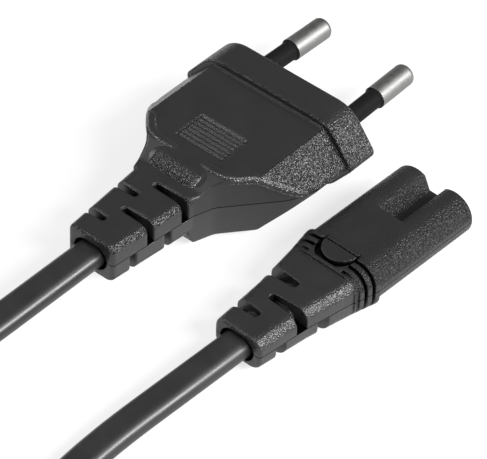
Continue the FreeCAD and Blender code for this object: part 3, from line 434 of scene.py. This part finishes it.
def moulding_material(name, parting_height, edge_radius, glints, relief_glints=None, level_grain=0.0,
                      smooth_boxes=()):
    """Black moulded compound: smooth walls and panels, spark finished grain on what slopes, painted shade
    in slots and a lower half painted lighter.

    glints is the shine of the grain's hollows and peaks, relief_glints that of the strain relief."""
    nodes = Nodes(name)
    grained = grained_share(nodes, level_grain, smooth_boxes)
    fine = nodes.noise(GRAIN_SCALE, 1.0, 0.6)
    grain = nodes.times(fine, grained)
    glint = nodes.ramp(fine, GLINT_BAND, *glints)
    if relief_glints:
        behind = nodes.ramp(nodes.away("X", RELIEF_START), RELIEF_BAND, 1.0, 0.0)
        relief_glint = nodes.ramp(fine, GLINT_BAND, *relief_glints)
        glint = nodes.math("ADD", nodes.times(glint, nodes.math("SUBTRACT", 1.0, behind)),
                           nodes.times(relief_glint, behind))
        grain = nodes.times(grain, nodes.ramp(behind, (0.0, 1.0), 1.0, RELIEF_GRAIN))
    waved = nodes.bump(nodes.noise(WAVE_SCALE), WAVE_STRENGTH, WAVE_DEPTH, nodes.soft_edges(edge_radius))
    normal = nodes.bump(grain, 1.0, GRAIN_DEPTH, waved)
    above = nodes.away("Z", parting_height)
    parting = nodes.ramp(nodes.math("ABSOLUTE", above), PARTING_BAND, 0.0, 1.0)
    # painted shade: ambient occlusion darkens slots, times the dark parting seam, which is a real joint
    painted_shade_and_seam = nodes.times(nodes.open_share(SLOT_REACH), parting)
    cloudy = nodes.noise(CLOUD_SCALE, 3.0, 0.55)
    upper = nodes.mix(cloudy, *UPPER_BLACKS)
    # the lower half is painted lighter, a painted reflection of the pale floor
    compound = nodes.mix(nodes.ramp(above, HALVES_BAND, 0.0, 1.0), LOWER_HALF_PAINTED_REFLECTION, upper)
    shine = nodes.math("ADD", nodes.times(glint, grained),
                       nodes.times(nodes.math("SUBTRACT", 1.0, grained), SMOOTH_SHINE))
    # slots get painted shade in their colour and in their shine
    return nodes.finish(Base_Color=nodes.mix(painted_shade_and_seam, SHADE_AND_SEAM_BLACK, compound), Normal=normal,
                        Roughness=nodes.ramp(cloudy, NOISE_BAND, *COMPOUND_ROUGHNESS),
                        IOR=PLASTIC_IOR, Specular_IOR_Level=nodes.times(painted_shade_and_seam, shine))


# sheath, plain plastics and metals

def sheath_material(name):
    """Satin black sheath with faint drawing lines."""
    nodes = Nodes(name)
    cloudy = nodes.noise(220.0)
    lines = nodes.noise(2600.0, stretch=(0.06, 1, 1))
    colour = nodes.mix(cloudy, (0.010, 0.010, 0.0105), (0.016, 0.016, 0.0165))
    rough = nodes.ramp(cloudy, NOISE_BAND, 0.33, 0.40)
    normal = nodes.bump(lines, 0.08, 0.00004)
    return nodes.finish(Base_Color=colour, Roughness=rough, Normal=normal, IOR=PLASTIC_IOR)


def plastic_material(name, dark, light, roughness, shine=0.5):
    """Moulded plastic with a faint fine grain and softened edges."""
    nodes = Nodes(name)
    cloudy = nodes.noise(500.0, 3.0, 0.55)
    fine = nodes.noise(5200.0)
    rough = nodes.ramp(cloudy, NOISE_BAND, roughness - 0.04, roughness + 0.05)
    normal = nodes.bump(fine, 0.12, 0.00003, nodes.soft_edges(0.00015))
    return nodes.finish(Base_Color=nodes.mix(cloudy, dark, light), Roughness=rough, Normal=normal,
                        IOR=PLASTIC_IOR, Specular_IOR_Level=shine)


def metal_material(name, dark, light, roughness):
    """Turned metal: fine rings along the piece and slight tarnish."""
    nodes = Nodes(name)
    cloudy = nodes.noise(700.0, 3.0, 0.6)
    rings = nodes.noise(9000.0, stretch=(1, 0.02, 0.02))
    rough = nodes.ramp(cloudy, NOISE_BAND, roughness - 0.05, roughness + 0.06)
    normal = nodes.bump(rings, 0.10, 0.00002, nodes.soft_edges(0.0002))
    return nodes.finish(Base_Color=nodes.mix(cloudy, dark, light), Metallic=1.0, Roughness=rough,
                        Normal=normal)


def dress(material, *names):
    """Gives the named CAD nodes the material."""
    for name in names:
        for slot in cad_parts[name].material_slots:
            slot.material = material


def dress_mouldings(ridges, roll):
    compound = moulding_material("plug_compound", PLUG_PARTING, edge_radius=0.0008,
                                 glints=(0.05, 0.85), smooth_boxes=SMOOTH_BOXES)
    dress(compound, "plug_body")
    roll.data.materials.append(compound)
    worn = moulding_material("ridge_compound", PLUG_PARTING, edge_radius=0.0002, glints=(0.75, 1.0))
    for ridge in ridges:
        ridge.data.materials.append(worn)
    dress(moulding_material("connector_compound", CONNECTOR_PARTING, edge_radius=0.0004,
                            glints=(0.02, 0.28), relief_glints=(0.40, 0.62), level_grain=0.4),
          "connector_body")


def dress_small_pieces():
    dress(plastic_material("sleeve_black", grey(0.006), grey(0.009), 0.50, shine=0.03),
          "pin_sleeve_left", "pin_sleeve_right")
    dress(plastic_material("insert_black", (0.014, 0.014, 0.015), (0.022, 0.022, 0.023), 0.45),
          "plug_bridge", "connector_insert")
    dress(metal_material("bright_nickel", (0.20, 0.20, 0.196), (0.24, 0.24, 0.235), 0.48),
          "plug_pin_left", "plug_pin_right")
    dress(metal_material("contact_brass", (0.55, 0.40, 0.18), (0.72, 0.55, 0.28), 0.30),
          "contact_left", "contact_right")
    dress(metal_material("bare_copper", (0.55, 0.25, 0.14), (0.75, 0.38, 0.22), 0.35),
          "plug_brown_conductor", "plug_blue_conductor", "connector_brown_conductor",
          "connector_blue_conductor")
    dress(plastic_material("brown_insulation", (0.09, 0.035, 0.015), (0.12, 0.05, 0.02), 0.40),
          "plug_brown_core", "connector_brown_core")
    dress(plastic_material("blue_insulation", (0.02, 0.08, 0.30), (0.03, 0.11, 0.38), 0.40),
          "plug_blue_core", "connector_blue_core")
    dress(plastic_material("tie_black", grey(0.016), grey(0.028), 0.5), "coil_tie")


# floor and light

WHITE = (1, 1, 1, 1)
FLOOR_HALF = 3.0
FLOOR_GREY = (0.85, 0.85, 0.85, 1)
FLOOR_ROUGHNESS = 0.9
# how much of the floor that is seen, directly or in a gloss, is plain white instead of lit
FLOOR_WHITE_SHARE = 0.72


def make_floor():
    mesh = bmesh.new()
    corners = ((-1, -1), (1, -1), (1, 1), (-1, 1))
    mesh.faces.new([mesh.verts.new((x * FLOOR_HALF, y * FLOOR_HALF, 0)) for x, y in corners])
    data = bpy.data.meshes.new("floor")
    mesh.to_mesh(data)
    mesh.free()
    floor = bpy.data.objects.new("floor", data)
    bpy.context.collection.objects.link(floor)
    nodes = Nodes("pale_floor")
    nodes.finish(Base_Color=FLOOR_GREY, Roughness=FLOOR_ROUGHNESS)
    rays = nodes.add("ShaderNodeLightPath")
    seen = nodes.math("MAXIMUM", rays.outputs["Is Camera Ray"], rays.outputs["Is Glossy Ray"])
    share = nodes.times(seen, FLOOR_WHITE_SHARE)
    glow = nodes.add("ShaderNodeEmission", {"Color": WHITE, "Strength": 1.0})
    mixed = nodes.add("ShaderNodeMixShader")
    nodes.set(mixed.inputs[0], share)
    nodes.set(mixed.inputs[1], nodes.shader.outputs["BSDF"])
    nodes.set(mixed.inputs[2], glow.outputs["Emission"])
    nodes.set(nodes.output.inputs["Surface"], mixed.outputs["Shader"])
    data.materials.append(nodes.material)


# the place between plug and connector that all lamps shine on
AIM = Vector((-0.01, 0.015, 0.005))
# name, direction from there, distance, width, length and power
LAMPS = (
    ("key", (0.55, -0.36, 0.75), 0.9, 0.18, 0.40, 1.0),
    ("strip", (0.30, -0.76, 0.50), 0.9, 0.68, 0.16, 14.0),
    ("rear_strip", (-0.08, -0.73, 0.68), 0.9, 0.28, 0.15, 6.0),
    ("slope", (-0.45, 0.49, 0.75), 1.0, 0.30, 0.12, 3.6),
    ("back", (-0.20, 0.85, 0.60), 1.0, 0.5, 0.5, 3.0),
)
WORLD_LEVEL = 0.19


def make_light():
    for name, way, distance, width, length, power in LAMPS:
        data = bpy.data.lights.new(name, "AREA")
        data.shape = "RECTANGLE"
        data.size = width
        data.size_y = length
        data.energy = power
        lamp = bpy.data.objects.new(name, data)
        bpy.context.collection.objects.link(lamp)
        away = Vector(way).normalized()
        lamp.location = AIM + away * distance
        lamp.rotation_mode = "QUATERNION"
        lamp.rotation_quaternion = away.to_track_quat("Z", "Y")
    world = bpy.data.worlds.new("studio")
    bpy.context.scene.world = world
    world.use_nodes = True
    background = world.node_tree.nodes["Background"]
    background.inputs["Color"].default_value = WHITE
    background.inputs["Strength"].default_value = WORLD_LEVEL
    bpy.context.scene.view_settings.view_transform = "Standard"


make_camera()
cord_sheath = make_cord()
grip_ridges = [make_ridge("grip_ridge_near", -1), make_ridge("grip_ridge_far", 1)]
cord_sheath.data.materials.append(sheath_material("satin_sheath"))
dress_mouldings(grip_ridges, make_roll())
dress_small_pieces()
make_floor()
make_light()
bpy.context.view_layer.update()
